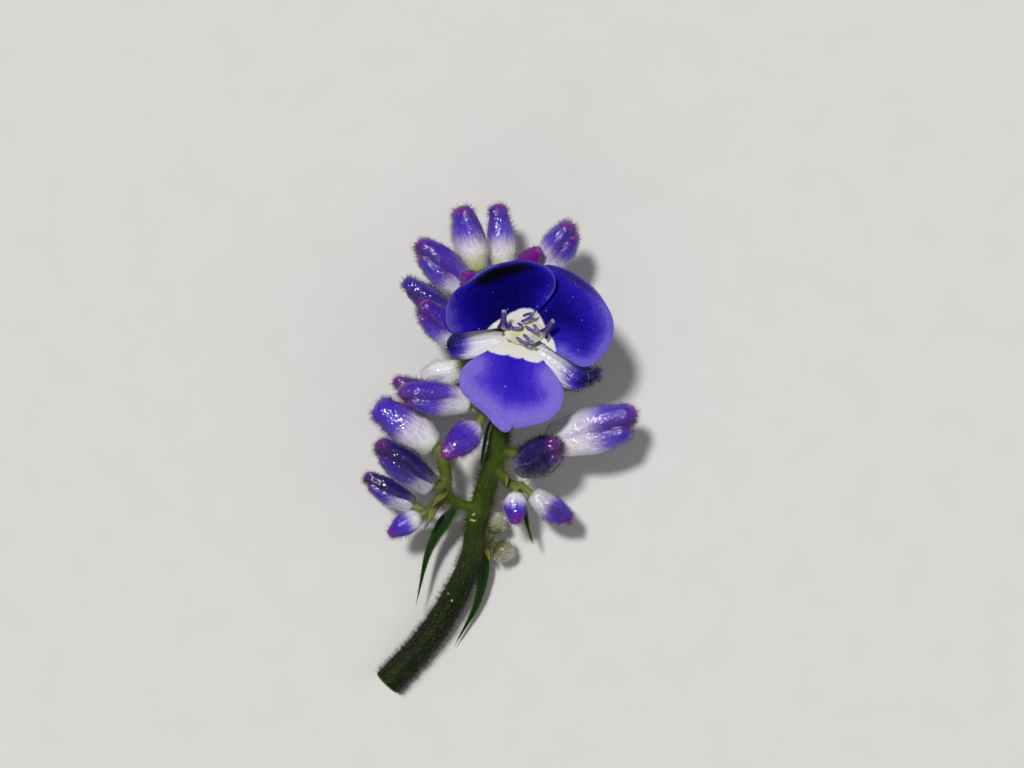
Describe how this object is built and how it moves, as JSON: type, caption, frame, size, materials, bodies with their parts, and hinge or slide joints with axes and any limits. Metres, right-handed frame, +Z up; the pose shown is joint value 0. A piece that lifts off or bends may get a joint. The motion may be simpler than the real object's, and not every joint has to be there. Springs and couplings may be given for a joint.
{
  "type": "cut dichorisandra flower stem",
  "caption": "Cut flowering stem lying on its back: hairy green stem, blunt violet and white buds on short side branches, an open blue-violet flower with a white middle, and narrow green bracts.",
  "frame": {"origin": "middle of the lying piece's box, on the surface it rests on", "axes": "+Y along the stem from the cut end to the top of the head, +Z up out of the open flower"},
  "size_m": [0.0455, 0.0838, 0.0304],
  "materials": {
    "stem": "hairy, with a soft gloss",
    "bud": "satin gloss under fine hairs, magenta tip to white base",
    "bract": "satin leaf",
    "bracteole": "satin scale with red-brown edge",
    "sepal": "satin, white to violet at the tip",
    "petal": "velvety, with fine radial streaks",
    "ovary": "waxy",
    "anther": "smooth"
  },
  "bodies": {
    "root": {"stem": "stem", "bud_top_left": "bud", "bud_top": "bud", "bud_upper_left": "bud", "bud_small_round": "bud", "bud_upper_right": "bud", "bud_small_right": "bud", "bud_left": "bud", "bud_left_back": "bud", "bud_left_white": "bud", "bud_left_low_back": "bud", "bud_left_middle": "bud", "bud_low_large": "bud", "bud_low_front": "bud", "bud_low_left": "bud", "bud_low_side": "bud", "bud_low_end": "bud", "bud_right_large": "bud", "bud_right_front": "bud", "bud_right_small": "bud", "bud_right_low": "bud", "bud_node_upper": "bud", "bud_node_lower": "bud", "bud_right_back": "bud", "bud_rest_left": "bud", "bud_rest_right": "bud", "bud_under_front": "bud", "bud_under_top": "bud", "bud_under_left": "bud", "bud_under_small": "bud", "bud_under_right": "bud", "bract_left": "bract", "bract_node": "bract", "bract_right": "bract", "bract_upper": "bract", "bract_back": "bract", "bracteole_low_outer": "bracteole", "bracteole_low_inner": "bracteole", "bracteole_right": "bracteole", "bracteole_node": "bracteole", "sepal_left": "sepal", "sepal_right": "sepal", "sepal_top": "sepal", "petal_upper": "petal", "petal_right": "petal", "petal_lower": "petal", "ovary": "ovary", "anther_left": "anther", "anther_right": "anther", "anther_top": "anther", "anther_middle_left": "anther", "anther_middle_right": "anther", "anther_lower": "anther"}
  },
  "joints": []
}
